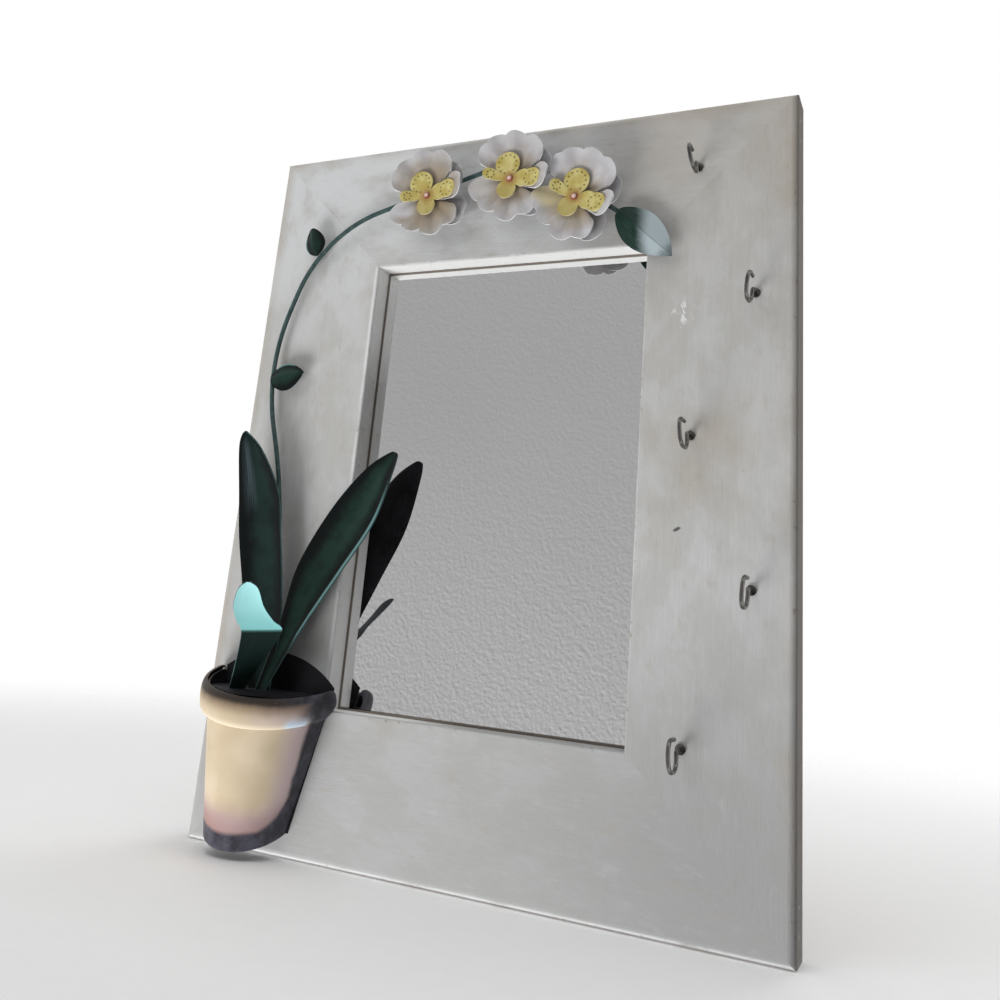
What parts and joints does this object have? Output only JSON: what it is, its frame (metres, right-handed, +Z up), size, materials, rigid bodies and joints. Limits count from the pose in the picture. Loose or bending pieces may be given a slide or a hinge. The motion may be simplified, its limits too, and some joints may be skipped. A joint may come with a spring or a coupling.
{
  "type": "wall mirror with hooks",
  "caption": "Mitred painted wooden wall mirror with a sheet-metal potted orchid on one side and screw-in wire hooks for keys on the other.",
  "frame": {"origin": "centre of the frame on the wall plane, where the rear bumpers touch the wall", "axes": "+X to the viewer's right, +Z up, +Y into the wall; the mirror faces -Y"},
  "size_m": [0.36, 0.0932, 0.453],
  "materials": {
    "painted_wood": "matt, worn cream wash",
    "mirror": "polished",
    "hardboard": "matt",
    "zinc_steel": "satin",
    "bumper_rubber": "matt",
    "nickel_wire": "bright, slightly tarnished",
    "terracotta_paint": "satin, shaded by hand",
    "black_paint": "satin",
    "leaf_paint": "satin",
    "stem_paint": "satin",
    "petal_paint": "satin, shaded by hand",
    "lip_paint": "satin, dotted",
    "pin_paint": "satin"
  },
  "bodies": {
    "mirror": {"backing_board": "hardboard", "corner_nails": "zinc_steel", "flower_first_back_petals": "petal_paint", "flower_first_front_petals": "petal_paint", "flower_first_lip": "lip_paint", "flower_first_pin": "pin_paint", "flower_second_back_petals": "petal_paint", "flower_second_front_petals": "petal_paint", "flower_second_lip": "lip_paint", "flower_second_pin": "pin_paint", "flower_stem": "stem_paint", "flower_third_back_petals": "petal_paint", "flower_third_front_petals": "petal_paint", "flower_third_lip": "lip_paint", "flower_third_pin": "pin_paint", "frame_bottom_rail": "painted_wood", "frame_left_stile": "painted_wood", "frame_right_stile": "painted_wood", "frame_top_rail": "painted_wood", "hanger_screws": "zinc_steel", "hanger_strap_left": "zinc_steel", "hanger_strap_right": "zinc_steel", "leaf_front_bent": "leaf_paint", "leaf_left_tall": "leaf_paint", "leaf_right_tall": "leaf_paint", "mirror_glass": "mirror", "pot_back_plate": "black_paint", "pot_nails": "zinc_steel", "pot_rim_band": "terracotta_paint", "pot_shell": "terracotta_paint", "pot_soil_plate": "black_paint", "stem_end_leaf": "leaf_paint", "stem_leaf_lower": "leaf_paint", "stem_leaf_upper": "leaf_paint", "turn_button_screws": "zinc_steel", "wall_bumpers": "bumper_rubber"},
    "cup_hook_1": {"cup_hook_1": "nickel_wire"},
    "cup_hook_2": {"cup_hook_2": "nickel_wire"},
    "cup_hook_3": {"cup_hook_3": "nickel_wire"},
    "cup_hook_4": {"cup_hook_4": "nickel_wire"},
    "cup_hook_5": {"cup_hook_5": "nickel_wire"},
    "hanger_ring_left": {"hanger_ring_left": "zinc_steel"},
    "hanger_ring_right": {"hanger_ring_right": "zinc_steel"},
    "turn_button_top": {"turn_button_top": "zinc_steel"},
    "turn_button_bottom": {"turn_button_bottom": "zinc_steel"},
    "turn_button_left": {"turn_button_left": "zinc_steel"},
    "turn_button_right": {"turn_button_right": "zinc_steel"}
  },
  "joints": [
    {"name": "cup_hook_1_turn", "type": "hinge", "parent": "mirror", "child": "cup_hook_1", "pos_m": [0.1235, -0.0263, 0.1855], "axis": [0, 1, 0], "range_deg": [-90, 90]},
    {"name": "cup_hook_2_turn", "type": "hinge", "parent": "mirror", "child": "cup_hook_2", "pos_m": [0.1575, -0.0263, 0.10475], "axis": [0, 1, 0], "range_deg": [-90, 90]},
    {"name": "cup_hook_3_turn", "type": "hinge", "parent": "mirror", "child": "cup_hook_3", "pos_m": [0.1235, -0.0263, 0.024], "axis": [0, 1, 0], "range_deg": [-90, 90]},
    {"name": "cup_hook_4_turn", "type": "hinge", "parent": "mirror", "child": "cup_hook_4", "pos_m": [0.1575, -0.0263, -0.05675], "axis": [0, 1, 0], "range_deg": [-90, 90]},
    {"name": "cup_hook_5_turn", "type": "hinge", "parent": "mirror", "child": "cup_hook_5", "pos_m": [0.1235, -0.0263, -0.1375], "axis": [0, 1, 0], "range_deg": [-90, 90]},
    {"name": "hanger_ring_left_swing", "type": "hinge", "parent": "mirror", "child": "hanger_ring_left", "pos_m": [-0.135, -0.00257, 0.128], "axis": [1, 0, 0], "range_deg": [0, 170]},
    {"name": "hanger_ring_right_swing", "type": "hinge", "parent": "mirror", "child": "hanger_ring_right", "pos_m": [0.135, -0.00257, 0.128], "axis": [1, 0, 0], "range_deg": [0, 170]},
    {"name": "turn_button_top_turn", "type": "hinge", "parent": "mirror", "child": "turn_button_top", "pos_m": [0, -0.005, 0.1515], "axis": [0, 1, 0], "range_deg": [-90, 90]},
    {"name": "turn_button_bottom_turn", "type": "hinge", "parent": "mirror", "child": "turn_button_bottom", "pos_m": [0, -0.005, -0.1545], "axis": [0, 1, 0], "range_deg": [-90, 90]},
    {"name": "turn_button_left_turn", "type": "hinge", "parent": "mirror", "child": "turn_button_left", "pos_m": [-0.103, -0.005, 0], "axis": [0, 1, 0], "range_deg": [-90, 90]},
    {"name": "turn_button_right_turn", "type": "hinge", "parent": "mirror", "child": "turn_button_right", "pos_m": [0.106, -0.005, 0], "axis": [0, 1, 0], "range_deg": [-90, 90]}
  ]
}
